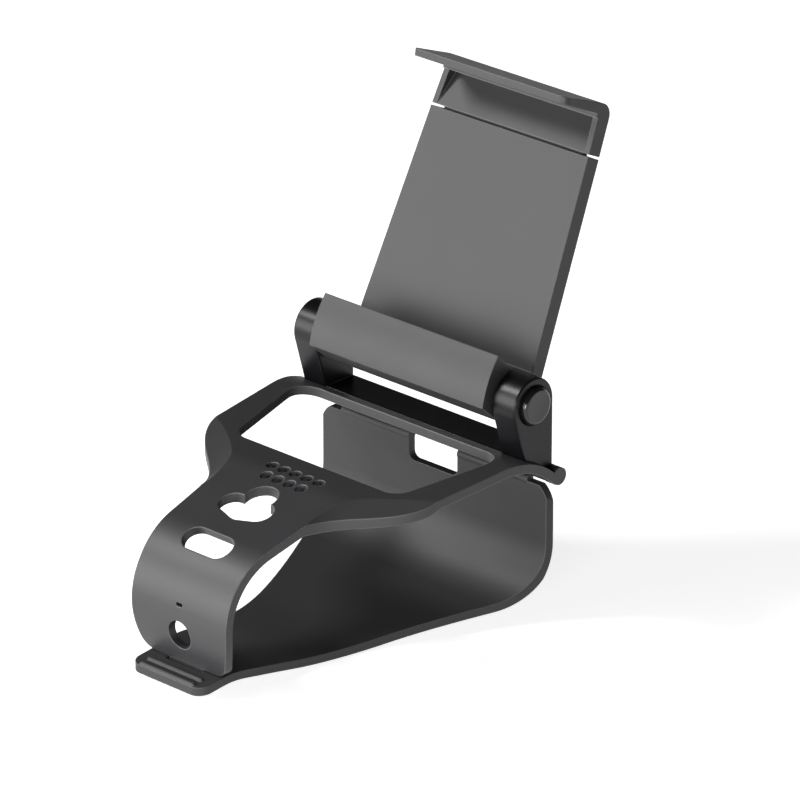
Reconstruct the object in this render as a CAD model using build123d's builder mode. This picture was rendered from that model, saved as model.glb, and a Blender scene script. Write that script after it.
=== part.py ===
from build123d import *
from math import asin, atan2, cos, degrees, radians, sin, tan
import os

os.makedirs("parts", exist_ok=True)

# Phone clip for a touchpad game controller. Millimetres, +Z up, +Y to the rear, X from side to side.
# The origin is the middle of the thumb tab's front edge, near its underside.

# Upper shell: side line, from the band's foot over the top plate to the rear bead
shell_wall = 2.2
band_front = 4.45
waist_height = 14.5
foot_height = 1.5
foot_radius = 31.8
shoulder_radius = 17.5
neck_rise = 15.0
neck_length = 21.0
crown_radius = 25.0
plate_rise = 4.6
plate_length = 29.5
curl_radius = 21.0
curl_sweep = 43.0
curl_tail = 4.2
bead_radius = 2.1

# Upper shell: outline from above and from the front
shell_half = 36.9
side_break = 12.6
band_half = 14.8
band_back = 7.0
neck_half = 16.2
neck_start = 27.0
neck_pull_low = 9.5
neck_pull_high = 9.5
wing_front = 48.9
wing_inset = 2.7
wing_angle = 21.8
wing_radius = 6.0
foot_taper_radius = 26.0
foot_taper = 20.0
foot_corner = 4.0

# Upper shell: flanks, where the neck's corners fall away a little; each is a shallow cone
flank_x = 19.9
flank_y = 28.55
flank_sink = 1.65
flank_slope = 15.1
flank_lean = 15.3
flank_tilt = 6.2
flank_reach = 30.0

# Upper shell: openings
window_front = 5.6
window_rear = 12.6
window_front_inset = 11.3
window_rear_inset = 4.6
window_corner = 5.0
speaker_hole = 2.9
speaker_pitch = 3.6
speaker_rear_row = 5.9
speaker_row_step = 3.8
speaker_rear_count = 5
left_lobe = (-5.3, 27.0)
left_lobe_radius = 3.2
right_lobe = (3.2, 27.0)
right_lobe_radius = 3.4
rear_lobe = (-0.5, 31.2)
rear_lobe_radius = 4.1
front_lobe = (-0.5, 25.8)
front_lobe_radius = 3.4
pill_tilt = 27.5
pill_length = 14.3
pill_width = 6.5
jack_hole = 7.0
jack_height = 10.3
mic_length = 2.1
mic_width = 0.9
mic_height = 17.75

# Lower shell: side line, from the tab along the belly to the rear wall
lower_wall = 2.0
tab_face = 1.95
tab_rise = 5.5
tab_flat = 6.0
tab_crown_radius = 57.0
front_fall = 9.0
front_run = 7.5
belly_radius = 85.0
belly_rise = 6.7
bend_radius = 13.0
hook_front = 1.6
hook_drop = 2.6
hook_radius = 1.2
hook_gap = 0.3

# Lower shell: outline from above and from behind
tab_half = 11.3
tab_corner = 3.2
tab_length = 8.0
waist_half = 13.4
waist_y = 19.0
waist_pull = 5.0
belly_half = 14.4
belly_y = 30.0
belly_pull = 20.5
flare_pull = 18.6
flare_slope = 0.5
flare_inset = 0.7
flare_y = 86.4
rear_inset = 1.2
rear_corner = 6.5
port_half = 7.6
port_sill = 24.7
port_corner = 1.8

# Latch and grip ribs at the front
foot_gap = 0.35
latch_half = 5.4
latch_wall = 1.5
latch_front = 6.9
latch_end = 0.9
latch_gap = 0.5
latch_front_gap = 1.1
rib_length = 17.4
rib_radius = 0.62
rib_height = 0.55
rib_first = 0.95
rib_pitch = 2.5

# Hinge bracket
axis_front = 6.4
axis_rise = 12.8
ear_radius = 6.4
ear_inset = 2.3
ear_wall = 7.0
ear_taper = 15.9
ear_round = 0.4
bar_rise = 6.0
bar_front = 3.3

# Button, lock sleeve, axle and left pivot
button_radius = 4.4
button_gap = 0.1
button_rise = 1.5
button_round = 0.9
button_dish = 0.2
button_body = 3.8
button_hole_depth = 2.3
button_travel = 2.4
button_floor_gap = 0.3
ring_radius = 4.8
ring_depth = 0.3
sleeve_radius = 3.6
sleeve_gap = 0.1
tooth_height = 0.5
tooth_width = 1.0
tooth_count = 12
tooth_in_ear = 1.9
tooth_in_barrel = 1.7
barrel_socket_gap = 0.3
sleeve_reach = 6.0
socket_depth = 9.5
spring_pocket = 4.0
spring_pocket_radius = 2.7
spring_radius = 1.9
spring_wire = 0.22
spring_end_gap = 0.1
spring_turns = 5
axle_radius = 1.0
axle_gap = 0.05
axle_seat = 5.0
axle_end_gap = 0.4
pivot_radius = 1.5
pivot_reach = 10.0
pivot_head_radius = 3.0
pivot_head_height = 1.6
pivot_sink = 2.0
pivot_head_gap = 0.2
pivot_gap = 0.05
pivot_end_gap = 0.4
pivot_recess_length = 4.2
pivot_recess_width = 1.0
pivot_recess_depth = 0.8

# Phone holder in its own leaning frame: back from the hinge axis, and up along the plate
holder_lean = 25.0
barrel_radius = 6.2
barrel_gap = 0.6
jaw_front = 8.7
jaw_front_up = 2.0
jaw_lip_front = 7.85
jaw_lip_up = 8.4
jaw_floor = 6.1
jaw_ramp_front = 1.6
jaw_foot_front = 7.9
jaw_foot_drop = 4.1
jaw_corner = 1.4
jaw_heel_angle = 250.0
holder_face = 5.5
holder_depth = 3.9
holder_drop = 1.0
holder_heel = 3.0
holder_top = 56.4
holder_taper = 2.7
front_wall = 1.2
cover_wall = 0.8
cover_gap = 0.15
rim_wall = 1.4
ledge_width = 0.9
cavity_low = 8.0
cavity_top_wall = 1.6

# Upper jaw and its slide
jaw_gap = 0.6
slide_travel = 25.0
jaw_side_gap = 0.05
jaw_taper = 0.75
lip_rise = 10.0
lip_front = 7.8
lip_tip = 1.7
lip_rake = 0.6
lip_root = 2.6
lip_corner = 1.8
jaw_round = 3.0
jaw_frame = 1.4
jaw_recess_depth = 2.6
ledge_height = 1.0
ledge_depth = 0.6
slide_side_gap = 0.5
slide_wall = 1.5
slide_gap = 0.3
slide_end = 20.0
stop_up = 49.0
stop_radius = 1.9
slide_root = 1.5

# Clamp springs and screws
clamp_spring_inset = 7.5
clamp_spring_radius = 0.65
clamp_spring_wire = 0.13
clamp_spring_turns = 14
clamp_post_up = 10.0
clamp_post_radius = 0.45
clamp_slot_top = 46.0
spring_slot_half = 1.1
cover_boss_inset = 6.0
cover_boss_up = 11.5
cover_boss_radius = 1.6
cover_screw_radius = 0.6
cover_screw_head_radius = 1.3
cover_screw_head = 0.5
cover_recess_length = 1.8
cover_recess_width = 0.35
cover_recess_depth = 0.25
cover_screw_length = 2.2
bracket_screw_front = 1.6
bracket_screw_radius = 1.0
bracket_screw_head_radius = 1.8
bracket_screw_head = 1.0
bracket_screw_length = 7.5
bracket_screw_rise = 4.4
bracket_recess_length = 2.5
bracket_recess_width = 0.5
bracket_recess_depth = 0.4
screw_gap = 0.05

far = 60.0


def upper_line(depth):
    """Draws the upper shell's side line this deep under its face; returns both ends and the plate's start."""
    waist = (band_front + depth, waist_height)
    foot_sweep = degrees(asin((waist_height - foot_height) / foot_radius))
    foot = JernArc(waist, (0, -1), foot_radius - depth, foot_sweep)
    shoulder = JernArc(waist, (0, 1), shoulder_radius - depth, neck_rise - 90)
    neck = PolarLine(shoulder @ 1, neck_length, neck_rise)
    crown = JernArc(neck @ 1, neck % 1, crown_radius - depth, plate_rise - neck_rise)
    plate = PolarLine(crown @ 1, plate_length, plate_rise)
    curl = JernArc(plate @ 1, plate % 1, curl_radius - depth, -curl_sweep)
    tail = PolarLine(curl @ 1, curl_tail, plate_rise - curl_sweep)
    return foot @ 1, tail @ 1, plate @ 0


# Values shared by several sub-parts
with BuildLine():
    outer_foot, outer_tail, plate_start = upper_line(0)
hook_y = outer_tail.X - hook_front
hook_z = outer_tail.Y - hook_drop
window_front_y = plate_start.X + window_front
window_rear_y = outer_tail.X - window_rear
speaker_rear_y = window_front_y - speaker_rear_row
axis_y = outer_tail.X - axis_front
bar_top = outer_tail.Y + bar_rise
axis_z = bar_top + axis_rise
ear_outer = shell_half - ear_inset
ear_inner = ear_outer - ear_wall
bracket_screw_x = ear_inner + ear_wall / 2
bracket_screw_y = axis_y - bracket_screw_front
bracket_screw_seat = outer_tail.Y + bracket_screw_rise
wing_half = shell_half - wing_inset
rear_half = shell_half - rear_inset
flare_half = rear_half - flare_inset
barrel_half = ear_inner - barrel_gap
holder_half_top = barrel_half - holder_taper
jaw_half_low = holder_half_top - jaw_side_gap
jaw_half_top = jaw_half_low - jaw_taper
slide_half = holder_half_top - rim_wall - ledge_width - slide_side_gap
clamp_spring_x = slide_half - clamp_spring_inset
cover_boss_x = barrel_half - cover_boss_inset
sleeve_inner = barrel_half - sleeve_reach
socket_floor = barrel_half - socket_depth
lean = radians(holder_lean)
holder_side = Plane(
    origin=(0, axis_y, axis_z), x_dir=(0, cos(lean), -sin(lean)), z_dir=(1, 0, 0)
)
holder_rear = Plane(
    origin=(0, axis_y, axis_z), x_dir=(-1, 0, 0), z_dir=(0, cos(lean), -sin(lean))
)
front_plane = Plane(origin=(0, 0, 0), x_dir=(1, 0, 0), z_dir=(0, -1, 0))
holder_back = holder_face + holder_depth
cavity_floor = holder_face + front_wall
cavity_depth = holder_depth - front_wall - cover_wall
jaw_low = holder_top + jaw_gap
lip_under = holder_top + lip_rise
stop_slot_half = stop_radius + slide_gap
cover_screw_places = [(cover_boss_x, cover_boss_up), (-cover_boss_x, cover_boss_up), (0, stop_up)]
button_face = ear_outer + button_rise
button_inner = button_face - button_body
button_bore_floor = button_inner - button_travel - button_floor_gap
tooth_tip = sleeve_radius + tooth_height


def lower_line(depth):
    """Draws the lower shell's side line this far under its inner face; returns its two ends."""
    tilt = radians(tab_rise)
    start = (depth * sin(tilt) - lower_wall, tab_face - lower_wall * tan(tilt) - depth * cos(tilt))
    tab = PolarLine(start, tab_flat + lower_wall, tab_rise)
    crown = JernArc(tab @ 1, tab % 1, tab_crown_radius - depth, -tab_rise - front_fall)
    run = PolarLine(crown @ 1, front_run, -front_fall)
    belly = JernArc(run @ 1, run % 1, belly_radius + depth, front_fall + belly_rise)
    rise = radians(belly_rise)
    bend_start = hook_y - lower_wall / 2 - bend_radius * (1 - sin(rise)) + depth * sin(rise)
    rear_run = PolarLine(belly @ 1, (bend_start - (belly @ 1).X) / cos(rise), belly_rise)
    bend = JernArc(rear_run @ 1, rear_run % 1, bend_radius + depth, 90 - belly_rise)
    wall = Line(bend @ 1, ((bend @ 1).X, hook_z))
    return tab @ 0, wall @ 1


def shell_plan():
    """Draws the upper shell's outline from above."""
    with BuildLine() as outline:
        front = Line((0, 0), (band_half, 0))
        band = Line(front @ 1, (band_half, band_back))
        neck = Line(band @ 1, (neck_half, neck_start))
        wing_start = (wing_half, wing_front)
        wing_pull = (cos(radians(90 - wing_angle)), sin(radians(90 - wing_angle)))
        hollow = Bezier(
            neck @ 1,
            neck @ 1 + (neck % 1) * neck_pull_low,
            (wing_half - wing_pull[0] * neck_pull_high, wing_front - wing_pull[1] * neck_pull_high),
            wing_start,
        )
        side_y = outer_tail.X - side_break
        wing_turn = wing_angle - degrees(atan2(shell_half - wing_half, side_y - wing_front))
        corner = JernArc(hollow @ 1, wing_pull, wing_radius, wing_turn)
        wing = Line(corner @ 1, (shell_half, side_y))
        rear = Line(wing @ 1, (shell_half, 2 * far))
        Line(rear @ 1, (0, 2 * far))
        mirror(about=Plane.YZ)
    make_face(outline.edges())


def lower_plan():
    """Draws the lower shell's outline from above."""
    with BuildLine() as outline:
        front = Line((0, 0), (tab_half - tab_corner, 0))
        corner = JernArc(front @ 1, (1, 0), tab_corner, 90)
        tab = Line(corner @ 1, (tab_half, tab_length))
        waist_lean = (belly_half - waist_half) / (belly_y - waist_y)
        waist = Bezier(
            tab @ 1,
            (tab_half, tab_length + waist_pull),
            (waist_half - waist_lean * waist_pull, waist_y - waist_pull),
            (waist_half, waist_y),
        )
        belly = Line(waist @ 1, (belly_half, belly_y))
        flare = Bezier(
            belly @ 1,
            (belly_half + waist_lean * belly_pull, belly_y + belly_pull),
            (flare_half - flare_slope * flare_pull, flare_y - flare_pull),
            (flare_half, flare_y),
        )
        wall = Line(flare @ 1, (rear_half, hook_y + lower_wall))
        rear = Line(wall @ 1, (rear_half, 2 * far))
        Line(rear @ 1, (0, 2 * far))
        mirror(about=Plane.YZ)
    make_face(outline.edges())


def ear_outline():
    """Draws an ear's side outline, down into the shell."""
    taper = radians(ear_taper)
    foot = bar_top - ear_wall
    front_top = (axis_y - ear_radius * cos(taper), axis_z - ear_radius * sin(taper))
    front_foot = (front_top[0] + (front_top[1] - foot) * tan(taper), foot)
    rear_top = (axis_y + ear_radius, axis_z)
    with BuildLine() as outline:
        ThreePointArc(rear_top, (axis_y, axis_z + ear_radius), front_top)
        Polyline(front_top, front_foot, (rear_top[0], foot), rear_top)
    make_face(outline.edges())


def holder_plan(low, high, inset, mode=Mode.ADD):
    """Draws the holder's outline from behind between two heights, this far inside its sides."""
    slope = (barrel_half - holder_half_top) / (holder_top - jaw_floor)
    half_low = barrel_half - slope * (low - jaw_floor) - inset
    half_high = barrel_half - slope * (high - jaw_floor) - inset
    with BuildLine() as outline:
        Polyline(
            (-half_low, low), (half_low, low), (half_high, high), (-half_high, high), close=True
        )
    make_face(outline.edges(), mode=mode)


def along_x(start):
    """The plane that faces +X at this X, with its origin on the hinge axis."""
    return Plane(origin=(start, axis_y, axis_z), x_dir=(0, 1, 0), z_dir=(1, 0, 0))


# Inside of the upper shell, cut from it below
flank_z = plate_start.Y - (plate_start.X - flank_y) * tan(radians(neck_rise)) - flank_sink
flank_rise = flank_reach * tan(radians(flank_slope))
flank_wall = shell_wall / cos(radians(flank_slope))
right_flank = Plane(
    origin=(flank_x, flank_y, flank_z),
    z_dir=(tan(radians(flank_lean)), -tan(radians(flank_tilt)), 1),
)
left_flank = Plane(
    origin=(-flank_x, flank_y, flank_z),
    z_dir=(-tan(radians(flank_lean)), -tan(radians(flank_tilt)), 1),
)
with BuildPart() as shell_inside:
    with BuildSketch(Plane.YZ):
        with BuildLine():
            foot_in, tail_in, plate_in = upper_line(shell_wall)
            Line(foot_in, tail_in)
        make_face()
    extrude(amount=shell_half, both=True)
    with Locations(right_flank.offset(-flank_wall), left_flank.offset(-flank_wall)):
        Cone(
            0,
            flank_reach,
            flank_rise,
            align=(Align.CENTER, Align.CENTER, Align.MIN),
            mode=Mode.SUBTRACT,
        )

# Upper shell
pill_angle = radians(pill_tilt)
pill_plane = Plane(
    origin=(
        0,
        band_front + shoulder_radius * (1 - sin(pill_angle)),
        waist_height + shoulder_radius * cos(pill_angle),
    ),
    x_dir=(1, 0, 0),
    z_dir=(0, -sin(pill_angle), cos(pill_angle)),
)

with BuildPart() as upper_shell:
    with BuildSketch(Plane.YZ):
        with BuildLine():
            foot_out, tail_out, plate_out = upper_line(0)
            Polyline(foot_out, foot_in, tail_in, tail_out)
        make_face()
    extrude(amount=shell_half, both=True)
    with Locations(right_flank, left_flank):
        Cone(
            0,
            flank_reach,
            flank_rise,
            align=(Align.CENTER, Align.CENTER, Align.MIN),
            mode=Mode.SUBTRACT,
        )
    add(shell_inside.part, mode=Mode.SUBTRACT)
    with BuildSketch():
        shell_plan()
    extrude(amount=far, mode=Mode.INTERSECT)
    for hand in (1, -1):
        with BuildSketch(front_plane):
            with BuildLine():
                taper = JernArc(
                    (hand * band_half, waist_height), (0, -1), foot_taper_radius, -hand * foot_taper
                )
                corner = JernArc(taper @ 1, taper % 1, foot_corner, hand * (foot_taper - 90))
                Polyline(
                    corner @ 1,
                    ((corner @ 1).X, -far),
                    (hand * far, -far),
                    (hand * far, waist_height),
                    taper @ 0,
                )
            make_face()
        extrude(amount=-shoulder_radius, mode=Mode.SUBTRACT)
    with BuildSketch(Plane.YZ):
        with BuildLine():
            low_start, low_end = lower_line(-foot_gap)
            Polyline(
                low_start,
                (low_start.X, -far),
                (2 * far, -far),
                (2 * far, low_end.Y),
                low_end,
            )
        make_face()
    extrude(amount=shell_half, both=True, mode=Mode.SUBTRACT)
    with BuildSketch(Plane.YZ):
        with Locations((outer_tail.X, outer_tail.Y)):
            Circle(bead_radius)
    extrude(amount=shell_half, both=True)
    with BuildSketch(Plane.YZ):
        with Locations((hook_y, hook_z)):
            Circle(hook_radius + hook_gap)
    extrude(amount=wing_half, both=True, mode=Mode.SUBTRACT)
    with BuildSketch():
        with BuildLine():
            window_front_half = shell_half - window_front_inset
            window_rear_half = shell_half - window_rear_inset
            Polyline(
                (-window_front_half, window_front_y),
                (window_front_half, window_front_y),
                (window_rear_half, window_rear_y),
                (-window_rear_half, window_rear_y),
                close=True,
            )
        make_face()
        fillet(vertices(), window_corner)
        with Locations((0, speaker_rear_y)):
            with GridLocations(speaker_pitch, 0, speaker_rear_count, 1):
                Circle(speaker_hole / 2)
        with Locations((0, speaker_rear_y - speaker_row_step)):
            with GridLocations(speaker_pitch, 0, speaker_rear_count - 1, 1):
                Circle(speaker_hole / 2)
        with Locations(rear_lobe):
            Circle(rear_lobe_radius)
        with BuildLine() as front_lobes:
            CenterArc(left_lobe, left_lobe_radius, 0, 360)
            CenterArc(right_lobe, right_lobe_radius, 0, 360)
            CenterArc(front_lobe, front_lobe_radius, 0, 360)
        make_hull(front_lobes.edges())
    extrude(amount=far, mode=Mode.SUBTRACT)
    with BuildSketch(pill_plane):
        SlotOverall(pill_length, pill_width)
    extrude(amount=2 * shell_wall, both=True, mode=Mode.SUBTRACT)
    with BuildSketch(front_plane):
        with Locations((0, jack_height)):
            Circle(jack_hole / 2)
        with Locations((0, mic_height)):
            SlotOverall(mic_length, mic_width)
    extrude(amount=-shoulder_radius, mode=Mode.SUBTRACT)
    with Locations((0, latch_front, latch_end)):
        Box(
            2 * latch_half,
            latch_wall,
            foot_height + shell_wall,
            align=(Align.CENTER, Align.MIN, Align.MIN),
        )
    for hand in (1, -1):
        with Locations((hand * bracket_screw_x, bracket_screw_y, 0)):
            Cylinder(
                bracket_screw_radius + screw_gap,
                far,
                align=(Align.CENTER, Align.CENTER, Align.MIN),
                mode=Mode.SUBTRACT,
            )
            Cylinder(
                bracket_screw_head_radius + 2 * screw_gap,
                bracket_screw_seat,
                align=(Align.CENTER, Align.CENTER, Align.MIN),
                mode=Mode.SUBTRACT,
            )

# Lower shell
with BuildPart() as lower_shell:
    with BuildSketch(Plane.YZ):
        with BuildLine():
            start_in, end_in = lower_line(0)
            start_out, end_out = lower_line(lower_wall)
            Line(start_in, start_out)
            Line(end_in, end_out)
        make_face()
    extrude(amount=rear_half, both=True)
    with BuildSketch(Plane.XY.offset(-far)):
        lower_plan()
    extrude(amount=2 * far, mode=Mode.INTERSECT)
    wall_top = hook_z + hook_radius
    with BuildSketch(Plane.YZ):
        with Locations((hook_y, hook_z)):
            Circle(hook_radius)
    extrude(amount=rear_half - rear_corner, both=True)
    with BuildSketch(front_plane):
        with Locations((0, wall_top - far)):
            RectangleRounded(2 * rear_half, 2 * far, rear_corner)
    extrude(amount=-2 * far, mode=Mode.INTERSECT)
    with BuildSketch(front_plane):
        with Locations((0, port_sill + far / 2)):
            RectangleRounded(2 * port_half, far, port_corner)
    extrude(amount=-2 * far, mode=Mode.SUBTRACT)
    with Locations((0, latch_front - latch_front_gap, 0)):
        Box(
            2 * (latch_half + latch_gap),
            latch_front_gap + latch_wall + latch_gap,
            far,
            align=(Align.CENTER, Align.MIN, Align.CENTER),
            mode=Mode.SUBTRACT,
        )
    tab_plane = Plane(
        origin=(0, 0, tab_face),
        x_dir=(1, 0, 0),
        z_dir=(0, -sin(radians(tab_rise)), cos(radians(tab_rise))),
    )
    rib_half = rib_length / 2 - rib_radius
    rib_depth = rib_height - rib_radius
    for along in (rib_first, rib_first + rib_pitch):
        with Locations(tab_plane * Pos(0, along, rib_depth)):
            Cylinder(rib_radius, 2 * rib_half, rotation=(0, 90, 0))
        with Locations(
            tab_plane * Pos(rib_half, along, rib_depth), tab_plane * Pos(-rib_half, along, rib_depth)
        ):
            Sphere(rib_radius)

# Hinge bracket
with BuildPart() as hinge_bracket:
    with BuildSketch(Plane.YZ.offset(-ear_outer)):
        ear_outline()
    extrude(amount=2 * ear_outer)
    with BuildSketch(Plane.YZ):
        with Locations((axis_y, bar_top)):
            Rectangle(4 * ear_radius, far, align=(Align.CENTER, Align.MIN))
        with Locations((axis_y - bar_front, bar_top)):
            Rectangle(far, far, align=(Align.MAX, Align.CENTER))
    extrude(amount=ear_inner, both=True, mode=Mode.SUBTRACT)
    ear_edges = hinge_bracket.edges().filter_by(
        lambda edge: edge.center().Z > bar_top and abs(edge.center().X) > ear_inner - ear_round
    )
    fillet(ear_edges, ear_round)
    with BuildSketch(Plane.YZ):
        with BuildLine():
            foot_out, tail_out, plate_out = upper_line(0)
            Polyline(foot_out, (foot_out.X, 0), (tail_out.X, 0), tail_out)
        make_face()
        with Locations((outer_tail.X, outer_tail.Y)):
            Circle(bead_radius)
    extrude(amount=ear_outer, both=True, mode=Mode.SUBTRACT)
    with BuildSketch(along_x(ear_outer - ring_depth)):
        Circle(ring_radius)
    extrude(amount=ring_depth, mode=Mode.SUBTRACT)
    with BuildSketch(along_x(button_bore_floor)):
        Circle(button_radius + button_gap)
    extrude(amount=ear_outer - button_bore_floor, mode=Mode.SUBTRACT)
    with BuildSketch(along_x(ear_inner)):
        Circle(sleeve_radius + sleeve_gap)
        with PolarLocations(sleeve_radius, tooth_count):
            Rectangle(2 * (tooth_height + sleeve_gap), tooth_width + 2 * sleeve_gap)
    extrude(amount=button_bore_floor - ear_inner, mode=Mode.SUBTRACT)
    with BuildSketch(along_x(-ear_outer)):
        Circle(pivot_radius + screw_gap)
    extrude(amount=ear_wall, mode=Mode.SUBTRACT)
    with BuildSketch(along_x(-ear_outer)):
        Circle(pivot_head_radius + pivot_head_gap)
    extrude(amount=pivot_sink, mode=Mode.SUBTRACT)
    for hand in (1, -1):
        with Locations((hand * bracket_screw_x, bracket_screw_y, 0)):
            Cylinder(
                bracket_screw_radius,
                bracket_screw_seat + bracket_screw_length + screw_gap,
                align=(Align.CENTER, Align.CENTER, Align.MIN),
                mode=Mode.SUBTRACT,
            )

# Phone holder, front half: plate, lower jaw and barrel in one moulding
with BuildPart() as holder_front:
    with BuildSketch(holder_side):
        heel_angle = radians(jaw_heel_angle)
        with BuildLine():
            lip = (-jaw_lip_front, jaw_lip_up)
            foot = (-jaw_foot_front, -jaw_foot_drop)
            ThreePointArc(lip, (-jaw_front, jaw_front_up), foot)
            Polyline(
                foot,
                (barrel_radius * cos(heel_angle), barrel_radius * sin(heel_angle)),
                (0, 0),
                (holder_face, 0),
                (holder_face, jaw_floor),
                (-jaw_ramp_front, jaw_floor),
                lip,
            )
        make_face()
        Circle(barrel_radius)
        with BuildLine():
            heel = JernArc((holder_back, holder_heel - holder_drop), (0, -1), holder_heel, -90)
            Polyline(
                heel @ 1,
                (holder_face, -holder_drop),
                (holder_face, holder_top),
                (holder_back, holder_top),
                heel @ 0,
            )
        make_face()
    extrude(amount=barrel_half, both=True)
    with BuildSketch(holder_rear.offset(holder_face)):
        with Locations((0, jaw_floor)):
            Rectangle(2 * far, 2 * far, align=(Align.CENTER, Align.MIN))
        holder_plan(-holder_drop, holder_top, 0, Mode.SUBTRACT)
    extrude(amount=far, mode=Mode.SUBTRACT)
    with BuildSketch(holder_rear.offset(cavity_floor)):
        holder_plan(cavity_low, holder_top - cavity_top_wall, rim_wall + ledge_width)
        with Locations((0, holder_top)):
            Rectangle(
                2 * (slide_half + slide_gap),
                2 * cavity_top_wall + slide_gap,
                align=(Align.CENTER, Align.CENTER),
            )
    extrude(amount=cavity_depth, mode=Mode.SUBTRACT)
    with BuildSketch(holder_rear.offset(cavity_floor + cavity_depth)):
        holder_plan(
            cavity_low - ledge_width, holder_top - cavity_top_wall + ledge_width, rim_wall
        )
    extrude(amount=cover_wall, mode=Mode.SUBTRACT)
    with BuildSketch(holder_rear.offset(cavity_floor)):
        with Locations((cover_boss_x, cover_boss_up), (-cover_boss_x, cover_boss_up)):
            Circle(cover_boss_radius)
        with Locations((0, stop_up)):
            Circle(stop_radius)
    extrude(amount=cavity_depth)
    with BuildSketch(holder_rear.offset(cavity_floor)):
        with Locations((clamp_spring_x, clamp_post_up), (-clamp_spring_x, clamp_post_up)):
            Circle(clamp_post_radius)
    extrude(amount=cavity_depth)
    with BuildSketch(holder_rear.offset(holder_back - cover_screw_length - screw_gap)):
        with Locations(*cover_screw_places):
            Circle(cover_screw_radius)
    extrude(amount=far, mode=Mode.SUBTRACT)
    with BuildSketch(along_x(socket_floor)):
        Circle(tooth_tip + barrel_socket_gap)
    extrude(amount=barrel_half - socket_floor, mode=Mode.SUBTRACT)
    with BuildSketch(along_x(socket_floor - axle_seat)):
        Circle(axle_radius)
    extrude(amount=axle_seat, mode=Mode.SUBTRACT)
    with BuildSketch(along_x(-barrel_half)):
        Circle(pivot_radius + pivot_gap)
    extrude(amount=pivot_reach, mode=Mode.SUBTRACT)

# Phone holder, rear cover
with BuildPart() as holder_cover:
    with BuildSketch(holder_rear.offset(cavity_floor + cavity_depth)):
        holder_plan(
            cavity_low - ledge_width + cover_gap,
            holder_top - cavity_top_wall + ledge_width - cover_gap,
            rim_wall + cover_gap,
        )
        with Locations(*cover_screw_places):
            Circle(cover_screw_radius + screw_gap, mode=Mode.SUBTRACT)
    extrude(amount=cover_wall)
    with BuildSketch(holder_rear.offset(holder_back - cover_screw_head)):
        with Locations(*cover_screw_places):
            Circle(cover_screw_head_radius + screw_gap)
    extrude(amount=cover_screw_head, mode=Mode.SUBTRACT)

# Three identical cover screws
with BuildPart() as cover_screws:
    with BuildSketch(holder_rear.offset(holder_back - cover_screw_length)):
        with Locations(*cover_screw_places):
            Circle(cover_screw_radius)
    extrude(amount=cover_screw_length)
    with BuildSketch(holder_rear.offset(holder_back - cover_screw_head)):
        with Locations(*cover_screw_places):
            Circle(cover_screw_head_radius)
    extrude(amount=cover_screw_head)
    with BuildSketch(holder_rear.offset(holder_back)):
        with Locations(*cover_screw_places):
            Rectangle(cover_recess_length, cover_recess_width)
            Rectangle(cover_recess_width, cover_recess_length)
    extrude(amount=-cover_recess_depth, mode=Mode.SUBTRACT)

# Upper jaw's recess: a wedge between two end frames, deepest under the lip
with BuildPart() as jaw_recess:
    with BuildSketch(holder_side):
        with BuildLine():
            Polyline(
                (holder_face, jaw_low),
                (holder_face + jaw_recess_depth, lip_under - ledge_height),
                (holder_face, lip_under - ledge_height),
                close=True,
            )
        make_face()
    extrude(amount=far, both=True)
    with BuildSketch(holder_rear.offset(holder_face)):
        with BuildLine():
            Polyline(
                (jaw_frame - jaw_half_low, jaw_low),
                (jaw_half_low - jaw_frame, jaw_low),
                (jaw_half_top - jaw_frame, lip_under),
                (jaw_frame - jaw_half_top, lip_under),
                close=True,
            )
        make_face()
    extrude(amount=jaw_recess_depth, mode=Mode.INTERSECT)

# Upper jaw: wall, lip and the slide that runs inside the holder
with BuildPart() as upper_jaw:
    with BuildSketch(holder_side):
        with BuildLine():
            jaw_top = lip_under + lip_root
            back = JernArc((holder_back, jaw_top - jaw_round), (0, 1), jaw_round, 90)
            Polyline(
                back @ 1,
                (holder_face, jaw_top),
                (-lip_front, lip_under + lip_tip),
                (lip_rake - lip_front, lip_under),
                (holder_face - ledge_depth, lip_under),
                (holder_face - ledge_depth, lip_under - ledge_height),
                (holder_face, lip_under - ledge_height),
                (holder_face, jaw_low),
                (holder_back, jaw_low),
                back @ 0,
            )
        make_face()
    extrude(amount=max(jaw_half_low, jaw_half_top), both=True)
    with BuildSketch(holder_rear.offset(-far)):
        Rectangle(4 * far, 4 * far)
        with BuildLine():
            Polyline(
                (-jaw_half_low, jaw_low),
                (jaw_half_low, jaw_low),
                (jaw_half_top, jaw_top),
                (-jaw_half_top, jaw_top),
                close=True,
            )
        make_face(mode=Mode.SUBTRACT)
    extrude(amount=2 * far, mode=Mode.SUBTRACT)
    front_corners = upper_jaw.edges().filter_by(
        lambda edge: holder_side.to_local_coords(edge.center()).X < lip_rake - lip_front
        and abs(edge.center().X) > jaw_half_top - lip_corner
        and edge.length < lip_tip + lip_rake
    )
    fillet(front_corners, lip_corner)
    add(jaw_recess.part, mode=Mode.SUBTRACT)
    slide_front = cavity_floor + (cavity_depth - slide_wall) / 2
    with BuildSketch(holder_rear.offset(slide_front)):
        with Locations((0, slide_end)):
            Rectangle(
                2 * slide_half, jaw_low - slide_end + slide_root, align=(Align.CENTER, Align.MIN)
            )
        with Locations((0, stop_up + stop_slot_half)):
            SlotOverall(
                slide_travel + 2 * stop_slot_half,
                2 * stop_slot_half,
                rotation=90,
                align=(Align.MAX, Align.CENTER),
                mode=Mode.SUBTRACT,
            )
        for hand in (1, -1):
            with Locations((hand * clamp_spring_x, slide_end)):
                Rectangle(
                    2 * spring_slot_half,
                    clamp_slot_top - slide_end,
                    align=(Align.CENTER, Align.MIN),
                    mode=Mode.SUBTRACT,
                )
    extrude(amount=slide_wall)

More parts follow.
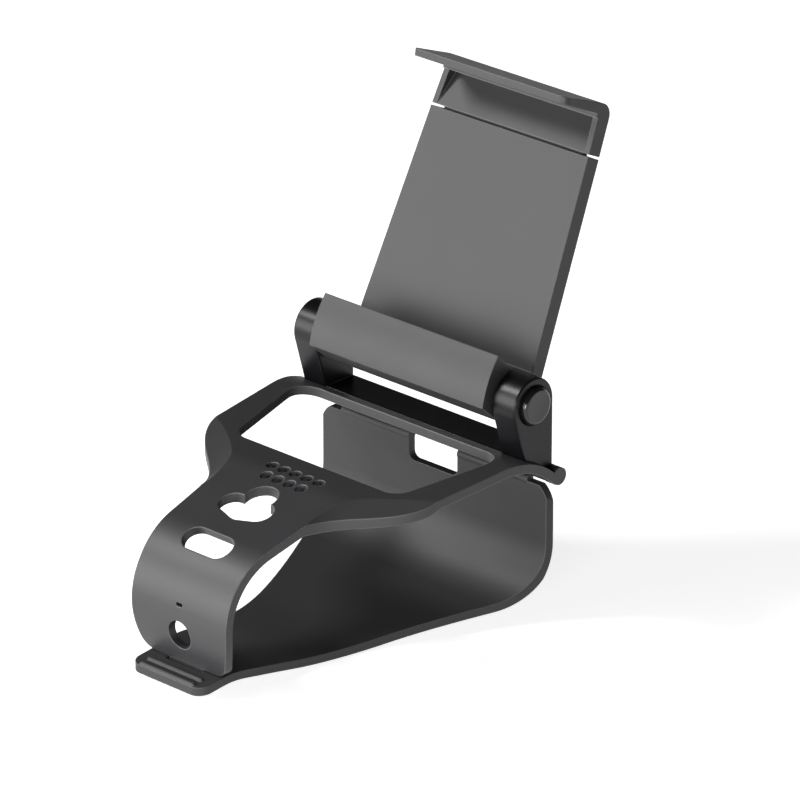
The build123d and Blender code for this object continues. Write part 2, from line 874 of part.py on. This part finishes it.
# Clamp springs, one per side
clamp_low = clamp_post_up + clamp_post_radius + clamp_spring_wire
clamp_length = clamp_slot_top - clamp_low - clamp_spring_wire
clamp_axis = (0, sin(lean), cos(lean))
clamp_plane = holder_rear.offset(cavity_floor + cavity_depth / 2)
with BuildPart() as clamp_spring_left:
    with BuildLine() as left_path:
        Helix(
            clamp_length / clamp_spring_turns,
            clamp_length,
            clamp_spring_radius,
            center=clamp_plane.from_local_coords((clamp_spring_x, clamp_low, 0)),
            direction=clamp_axis,
        )
    with BuildSketch(Plane(origin=left_path.line @ 0, z_dir=left_path.line % 0)):
        Circle(clamp_spring_wire)
    sweep(path=left_path.line, is_frenet=True)
with BuildPart() as clamp_spring_right:
    with BuildLine() as right_path:
        Helix(
            clamp_length / clamp_spring_turns,
            clamp_length,
            clamp_spring_radius,
            center=clamp_plane.from_local_coords((-clamp_spring_x, clamp_low, 0)),
            direction=clamp_axis,
        )
    with BuildSketch(Plane(origin=right_path.line @ 0, z_dir=right_path.line % 0)):
        Circle(clamp_spring_wire)
    sweep(path=right_path.line, is_frenet=True)

# Push button, its face slightly hollow
with BuildPart() as push_button:
    with BuildSketch(along_x(button_inner)):
        Circle(button_radius)
    extrude(amount=button_body)
    fillet(push_button.edges().group_by(Axis.X)[-1], button_round)
    dish_half = button_radius - button_round
    dish_radius = (dish_half**2 + button_dish**2) / (2 * button_dish)
    with Locations((button_face + dish_radius - button_dish, axis_y, axis_z)):
        Sphere(dish_radius, mode=Mode.SUBTRACT)
    with BuildSketch(along_x(button_inner)):
        Circle(axle_radius + axle_gap)
    extrude(amount=button_hole_depth, mode=Mode.SUBTRACT)

# Lock sleeve: a toothed hub on the button's inner side
with BuildPart() as lock_sleeve:
    with BuildSketch(along_x(sleeve_inner)):
        Circle(sleeve_radius)
    extrude(amount=button_inner - sleeve_inner)
    with BuildSketch(along_x(ear_inner - tooth_in_barrel)):
        with PolarLocations(sleeve_radius, tooth_count):
            Rectangle(2 * tooth_height, tooth_width)
    extrude(amount=tooth_in_barrel + tooth_in_ear)
    with BuildSketch(along_x(sleeve_inner)):
        Circle(spring_pocket_radius)
    extrude(amount=spring_pocket, mode=Mode.SUBTRACT)
    with BuildSketch(along_x(sleeve_inner)):
        Circle(axle_radius + axle_gap)
    extrude(amount=button_inner - sleeve_inner, mode=Mode.SUBTRACT)

# Button spring
spring_low = socket_floor + spring_wire
spring_top = sleeve_inner + spring_pocket - button_travel - spring_wire - spring_end_gap
spring_length = spring_top - spring_low
with BuildPart() as button_spring:
    with BuildLine() as coil_path:
        Helix(
            spring_length / spring_turns,
            spring_length,
            spring_radius,
            center=(spring_low, axis_y, axis_z),
            direction=(1, 0, 0),
        )
    with BuildSketch(Plane(origin=coil_path.line @ 0, z_dir=coil_path.line % 0)):
        Circle(spring_wire)
    sweep(path=coil_path.line, is_frenet=True)

# Axle that guides the lock sleeve
axle_end = button_inner + button_hole_depth - button_travel - axle_end_gap
with BuildPart() as hinge_axle:
    with BuildSketch(along_x(socket_floor - axle_seat)):
        Circle(axle_radius)
    extrude(amount=axle_end - socket_floor + axle_seat)

# Left pivot screw
with BuildPart() as left_pivot_screw:
    with BuildSketch(along_x(pivot_sink - ear_outer - pivot_head_height)):
        Circle(pivot_head_radius)
    extrude(amount=pivot_head_height)
    with BuildSketch(along_x(pivot_sink - ear_outer)):
        Circle(pivot_radius)
    extrude(amount=ear_outer - pivot_sink - barrel_half + pivot_reach - pivot_end_gap)
    with BuildSketch(along_x(pivot_sink - ear_outer - pivot_head_height)):
        Rectangle(pivot_recess_length, pivot_recess_width)
        Rectangle(pivot_recess_width, pivot_recess_length)
    extrude(amount=pivot_recess_depth, mode=Mode.SUBTRACT)

# Two identical bracket screws, driven from under the shell
screw_base = bracket_screw_seat - bracket_screw_head
with BuildPart() as bracket_screws:
    for hand in (1, -1):
        with Locations((hand * bracket_screw_x, bracket_screw_y, bracket_screw_seat)):
            Cylinder(
                bracket_screw_head_radius,
                bracket_screw_head,
                align=(Align.CENTER, Align.CENTER, Align.MAX),
            )
            Cylinder(
                bracket_screw_radius,
                bracket_screw_length,
                align=(Align.CENTER, Align.CENTER, Align.MIN),
            )
        with Locations((hand * bracket_screw_x, bracket_screw_y, screw_base)):
            Box(
                bracket_recess_length,
                bracket_recess_width,
                2 * bracket_recess_depth,
                mode=Mode.SUBTRACT,
            )
            Box(
                bracket_recess_width,
                bracket_recess_length,
                2 * bracket_recess_depth,
                mode=Mode.SUBTRACT,
            )

upper_shell.part.label = "upper_shell"
export_step(upper_shell.part, "parts/upper_shell.step")
lower_shell.part.label = "lower_shell"
export_step(lower_shell.part, "parts/lower_shell.step")
hinge_bracket.part.label = "hinge_bracket"
export_step(hinge_bracket.part, "parts/hinge_bracket.step")
bracket_screws.part.label = "bracket_screws"
export_step(bracket_screws.part, "parts/bracket_screws.step")
left_pivot_screw.part.label = "left_pivot_screw"
export_step(left_pivot_screw.part, "parts/left_pivot_screw.step")
holder_front.part.label = "holder_front"
export_step(holder_front.part, "parts/holder_front.step")
holder_cover.part.label = "holder_cover"
export_step(holder_cover.part, "parts/holder_cover.step")
cover_screws.part.label = "cover_screws"
export_step(cover_screws.part, "parts/cover_screws.step")
hinge_axle.part.label = "hinge_axle"
export_step(hinge_axle.part, "parts/hinge_axle.step")
button_spring.part.label = "button_spring"
export_step(button_spring.part, "parts/button_spring.step")
clamp_spring_left.part.label = "clamp_spring_left"
export_step(clamp_spring_left.part, "parts/clamp_spring_left.step")
clamp_spring_right.part.label = "clamp_spring_right"
export_step(clamp_spring_right.part, "parts/clamp_spring_right.step")
upper_jaw.part.label = "upper_jaw"
export_step(upper_jaw.part, "parts/upper_jaw.step")
push_button.part.label = "push_button"
export_step(push_button.part, "parts/push_button.step")
lock_sleeve.part.label = "lock_sleeve"
export_step(lock_sleeve.part, "parts/lock_sleeve.step")
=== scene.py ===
import math

import bpy
from mathutils import Matrix, Vector


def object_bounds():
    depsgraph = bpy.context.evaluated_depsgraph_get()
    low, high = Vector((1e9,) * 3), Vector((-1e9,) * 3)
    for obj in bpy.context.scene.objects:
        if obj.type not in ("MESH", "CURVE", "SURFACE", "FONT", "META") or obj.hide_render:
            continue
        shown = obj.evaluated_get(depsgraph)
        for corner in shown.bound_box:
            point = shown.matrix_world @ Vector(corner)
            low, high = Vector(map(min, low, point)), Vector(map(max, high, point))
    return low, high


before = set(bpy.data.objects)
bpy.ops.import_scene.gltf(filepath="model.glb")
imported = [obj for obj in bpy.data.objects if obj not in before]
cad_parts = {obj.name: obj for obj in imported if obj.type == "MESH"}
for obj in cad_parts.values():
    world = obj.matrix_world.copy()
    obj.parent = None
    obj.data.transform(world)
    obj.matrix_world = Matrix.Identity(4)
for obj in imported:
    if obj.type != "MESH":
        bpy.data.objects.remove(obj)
CAD_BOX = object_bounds()

# Camera, read from the photograph: place in metres in the row's frame, angles in degrees,
# lens and sensor in millimetres
CAMERA_PLACE = (0.99143, -0.96876, 0.66528)
CAMERA_AZIMUTH = 43.5
CAMERA_ELEVATION = 23.3
CAMERA_LENS = 310.5
SENSOR_WIDTH = 36.0
CLIP_NEAR = 0.1
CLIP_FAR = 20.0

# Moulded plastics: linear colour, roughness and how far it wanders, specular level,
# and the grain's size and height in metres
SATIN = dict(wander=0.05, shine=0.5, grain=0.00022, height=0.000012)
SHELL = dict(SATIN, colour=(0.034, 0.034, 0.036), rough=0.48)
BELLY = dict(SATIN, colour=(0.026, 0.026, 0.027), rough=0.57)
HOLDER = dict(SATIN, colour=(0.028, 0.028, 0.029), rough=0.50)
EARS = dict(
    colour=(0.003, 0.003, 0.004), rough=0.32, wander=0.05, shine=0.28, grain=0.00060, height=0.000003
)
CAP = dict(
    colour=(0.008, 0.008, 0.009), rough=0.14, wander=0.03, shine=0.55, grain=0.00040, height=0.000004
)

# The grain's noise, the slow drift's noise (scale per metre), and how far the drift takes the tone
GRAIN_DETAIL = 3.0
GRAIN_ROUGHNESS = 0.6
GRAIN_STRENGTH = 0.7
DRIFT_SCALE = 55.0
DRIFT_DETAIL = 4.0
DRIFT_ROUGHNESS = 0.55
TONE_SWING = 0.10

# Moulded edges are slightly rounded: radius in metres, and how many samples find it
EDGE_RADIUS = 0.00042
EDGE_SAMPLES = 8
# Edges and creases are painted paler as a highlight: the cosine of the bend where that starts and is
# full, and how much
PAINTED_EDGE_START = 0.990
PAINTED_EDGE_FULL = 0.93
PAINTED_EDGE_LIFT = 3.4

# Steels: linear colour and roughness, and the streaks' noise
SCREW_STEEL = dict(colour=(0.10, 0.10, 0.105), rough=0.35)
SPRING_STEEL = dict(colour=(0.55, 0.55, 0.56), rough=0.30)
STREAK_SCALE = 2500.0
STREAK_DETAIL = 2.0
STREAK_SWING = 0.2

# Stage, in metres: a floor, and a low ring round it as its backdrop
FLOOR_SIZE = 8.0
FLOOR_TONE = 0.85
FLOOR_GLOW = 0.80
BACKDROP_RADIUS = 3.9
BACKDROP_HEIGHT = 0.5
BACKDROP_SIDES = 96

# Light: the world's level, and softboxes by their direction from the point that they face,
# size in metres and power in watts
WORLD_LEVEL = 0.045
LIT_POINT = Vector((0, 0.06, 0.05))
SOFTBOX_DISTANCE = 0.9
SOFTBOXES = {
    "key": dict(toward=(-0.55, -0.45, 0.69), size=(0.22, 0.22), power=4.6),
    "fill": dict(toward=(-0.55, -0.83, 0.10), size=(0.8, 0.6), power=9.6),
    "side": dict(toward=(0.50, -0.86, 0.02), size=(0.5, 0.4), power=8.0),
}


def grow(tree, kind, operation=None, **inputs):
    """Adds a node, with its operation if it has one, and sets its inputs by name."""
    node = tree.nodes.new(kind)
    if operation:
        node.operation = operation
    for name, value in inputs.items():
        node.inputs[name].default_value = value
    return node


def spread(tree, value, low, high, start=0.0, end=1.0):
    """Maps a value from start..end to low..high, and returns the result's socket."""
    node = grow(tree, "ShaderNodeMapRange")
    limits = {"From Min": start, "From Max": end, "To Min": low, "To Max": high}
    for name, limit in limits.items():
        node.inputs[name].default_value = limit
    tree.links.new(value, node.inputs["Value"])
    return node.outputs["Result"]


def combine(tree, operation, first, second):
    """Joins two values with a math node, and returns the result's socket."""
    node = grow(tree, "ShaderNodeMath", operation)
    tree.links.new(first, node.inputs[0])
    tree.links.new(second, node.inputs[1])
    return node.outputs["Value"]


def plastic(name, colour, rough, wander, shine, grain, height):
    """Moulded plastic: a fine even grain, soft edges painted paler as a highlight, a slow drift of
    gloss and tone.
    """
    material = bpy.data.materials.new(name)
    material.use_nodes = True
    tree = material.node_tree
    shader = tree.nodes["Principled BSDF"]
    shader.inputs["Specular IOR Level"].default_value = shine
    place = grow(tree, "ShaderNodeTexCoord").outputs["Object"]
    fine = grow(
        tree, "ShaderNodeTexNoise", Scale=1 / grain, Detail=GRAIN_DETAIL, Roughness=GRAIN_ROUGHNESS
    )
    slow = grow(
        tree, "ShaderNodeTexNoise", Scale=DRIFT_SCALE, Detail=DRIFT_DETAIL, Roughness=DRIFT_ROUGHNESS
    )
    tree.links.new(place, fine.inputs["Vector"])
    tree.links.new(place, slow.inputs["Vector"])

    edge = grow(tree, "ShaderNodeBevel", Radius=EDGE_RADIUS)
    edge.samples = EDGE_SAMPLES
    bump = grow(tree, "ShaderNodeBump", Strength=GRAIN_STRENGTH, Distance=height)
    tree.links.new(edge.outputs["Normal"], bump.inputs["Normal"])
    tree.links.new(fine.outputs["Fac"], bump.inputs["Height"])
    tree.links.new(bump.outputs["Normal"], shader.inputs["Normal"])

    gloss = spread(tree, slow.outputs["Fac"], rough - wander, rough + wander)
    tree.links.new(gloss, shader.inputs["Roughness"])

    # Painted highlight: where the rounded edge normal bends away from the surface's normal, the base
    # colour is painted paler
    surface = grow(tree, "ShaderNodeNewGeometry")
    bend = grow(tree, "ShaderNodeVectorMath", "DOT_PRODUCT")
    tree.links.new(edge.outputs["Normal"], bend.inputs[0])
    tree.links.new(surface.outputs["Normal"], bend.inputs[1])
    painted_highlight = spread(tree, bend.outputs["Value"], 1.0, PAINTED_EDGE_LIFT, PAINTED_EDGE_START, PAINTED_EDGE_FULL)
    tone = spread(tree, slow.outputs["Fac"], 1 - TONE_SWING, 1 + TONE_SWING)
    tint = grow(tree, "ShaderNodeVectorMath", "SCALE")
    tint.inputs[0].default_value = colour
    tree.links.new(combine(tree, "MULTIPLY", tone, painted_highlight), tint.inputs["Scale"])
    tree.links.new(tint.outputs["Vector"], shader.inputs["Base Color"])
    return material


def metal(name, colour, rough):
    """Drawn or blackened steel, its gloss broken by fine streaks."""
    material = bpy.data.materials.new(name)
    material.use_nodes = True
    tree = material.node_tree
    shader = tree.nodes["Principled BSDF"]
    shader.inputs["Base Color"].default_value = (*colour, 1)
    shader.inputs["Metallic"].default_value = 1.0
    place = grow(tree, "ShaderNodeTexCoord").outputs["Object"]
    streak = grow(tree, "ShaderNodeTexNoise", Scale=STREAK_SCALE, Detail=STREAK_DETAIL)
    tree.links.new(place, streak.inputs["Vector"])
    gloss = spread(tree, streak.outputs["Fac"], rough * (1 - STREAK_SWING), rough * (1 + STREAK_SWING))
    tree.links.new(gloss, shader.inputs["Roughness"])
    return material


def pale_floor():
    """A matte pale material that glows only for the camera, reflections and refractions."""
    material = bpy.data.materials.new("pale_floor")
    material.use_nodes = True
    tree = material.node_tree
    tree.nodes.remove(tree.nodes["Principled BSDF"])
    matte = grow(tree, "ShaderNodeBsdfDiffuse", Color=(FLOOR_TONE, FLOOR_TONE, FLOOR_TONE, 1))
    glow = grow(tree, "ShaderNodeEmission")
    path = grow(tree, "ShaderNodeLightPath").outputs
    seen = combine(tree, "MAXIMUM", path["Is Camera Ray"], path["Is Transmission Ray"])
    seen = combine(tree, "MAXIMUM", seen, path["Is Glossy Ray"])
    tree.links.new(spread(tree, seen, 0.0, FLOOR_GLOW), glow.inputs["Strength"])
    total = grow(tree, "ShaderNodeAddShader")
    tree.links.new(matte.outputs["BSDF"], total.inputs[0])
    tree.links.new(glow.outputs["Emission"], total.inputs[1])
    tree.links.new(total.outputs["Shader"], tree.nodes["Material Output"].inputs["Surface"])
    return material


def white_stage():
    """A pale floor at the part's lowest point, with a low ring round it."""
    low = CAD_BOX[0].z
    material = pale_floor()
    bpy.ops.mesh.primitive_plane_add(size=FLOOR_SIZE, location=(0, 0, low))
    floor = bpy.context.object
    floor.name = "floor"
    bpy.ops.mesh.primitive_cylinder_add(
        vertices=BACKDROP_SIDES,
        radius=BACKDROP_RADIUS,
        depth=BACKDROP_HEIGHT,
        end_fill_type="NOTHING",
        location=(0, 0, low + BACKDROP_HEIGHT / 2),
    )
    backdrop = bpy.context.object
    backdrop.name = "backdrop"
    for surface in (floor, backdrop):
        surface.data.materials.append(material)


def world_light():
    """An even dim light from all round."""
    world = bpy.data.worlds.new("studio")
    bpy.context.scene.world = world
    world.use_nodes = True
    back = world.node_tree.nodes["Background"]
    back.inputs["Color"].default_value = (1, 1, 1, 1)
    back.inputs["Strength"].default_value = WORLD_LEVEL


def softbox(name, toward, size, power):
    """A rectangular area light in this direction from the lit point, facing it."""
    light = bpy.data.lights.new(name, "AREA")
    light.shape = "RECTANGLE"
    light.size, light.size_y = size
    light.energy = power
    lamp = bpy.data.objects.new(name, light)
    direction = Vector(toward).normalized()
    lamp.location = LIT_POINT + direction * SOFTBOX_DISTANCE
    lamp.rotation_mode = "QUATERNION"
    lamp.rotation_quaternion = direction.to_track_quat("Z", "Y")
    bpy.context.scene.collection.objects.link(lamp)


def photo_camera():
    """The photograph's camera: level, at a long lens."""
    lens = bpy.data.cameras.new("camera")
    lens.lens = CAMERA_LENS
    lens.sensor_width = SENSOR_WIDTH
    lens.clip_start, lens.clip_end = CLIP_NEAR, CLIP_FAR
    camera = bpy.data.objects.new("camera", lens)
    turn, rise = math.radians(CAMERA_AZIMUTH), math.radians(CAMERA_ELEVATION)
    back = Vector((math.sin(turn) * math.cos(rise), -math.cos(turn) * math.cos(rise), math.sin(rise)))
    right = Vector((math.cos(turn), math.sin(turn), 0))
    up = back.cross(right)
    pose = Matrix((right, up, back)).transposed().to_4x4()
    camera.matrix_world = Matrix.Translation(CAMERA_PLACE) @ pose
    bpy.context.scene.collection.objects.link(camera)
    bpy.context.scene.camera = camera


# Every piece is a CAD node whose shape is kept, so each only gets its finish
shell = plastic("satin_shell", **SHELL)
belly = plastic("dark_shell", **BELLY)
holder = plastic("satin_holder", **HOLDER)
ears = plastic("gloss_ears", **EARS)
cap = plastic("button_cap", **CAP)
screw = metal("blackened_steel", **SCREW_STEEL)
spring = metal("drawn_steel", **SPRING_STEEL)
FINISH = {
    "upper_shell": shell,
    "lower_shell": belly,
    "hinge_bracket": ears,
    "holder_front": holder,
    "holder_cover": holder,
    "upper_jaw": holder,
    "push_button": cap,
    "lock_sleeve": cap,
    "bracket_screws": screw,
    "left_pivot_screw": screw,
    "cover_screws": screw,
    "hinge_axle": spring,
    "button_spring": spring,
    "clamp_spring_left": spring,
    "clamp_spring_right": spring,
}
for piece, finish in FINISH.items():
    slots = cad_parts[piece].data.materials
    slots.clear()
    slots.append(finish)

white_stage()
world_light()
for name, lamp in SOFTBOXES.items():
    softbox(name, **lamp)
photo_camera()
bpy.context.scene.view_settings.view_transform = "Standard"
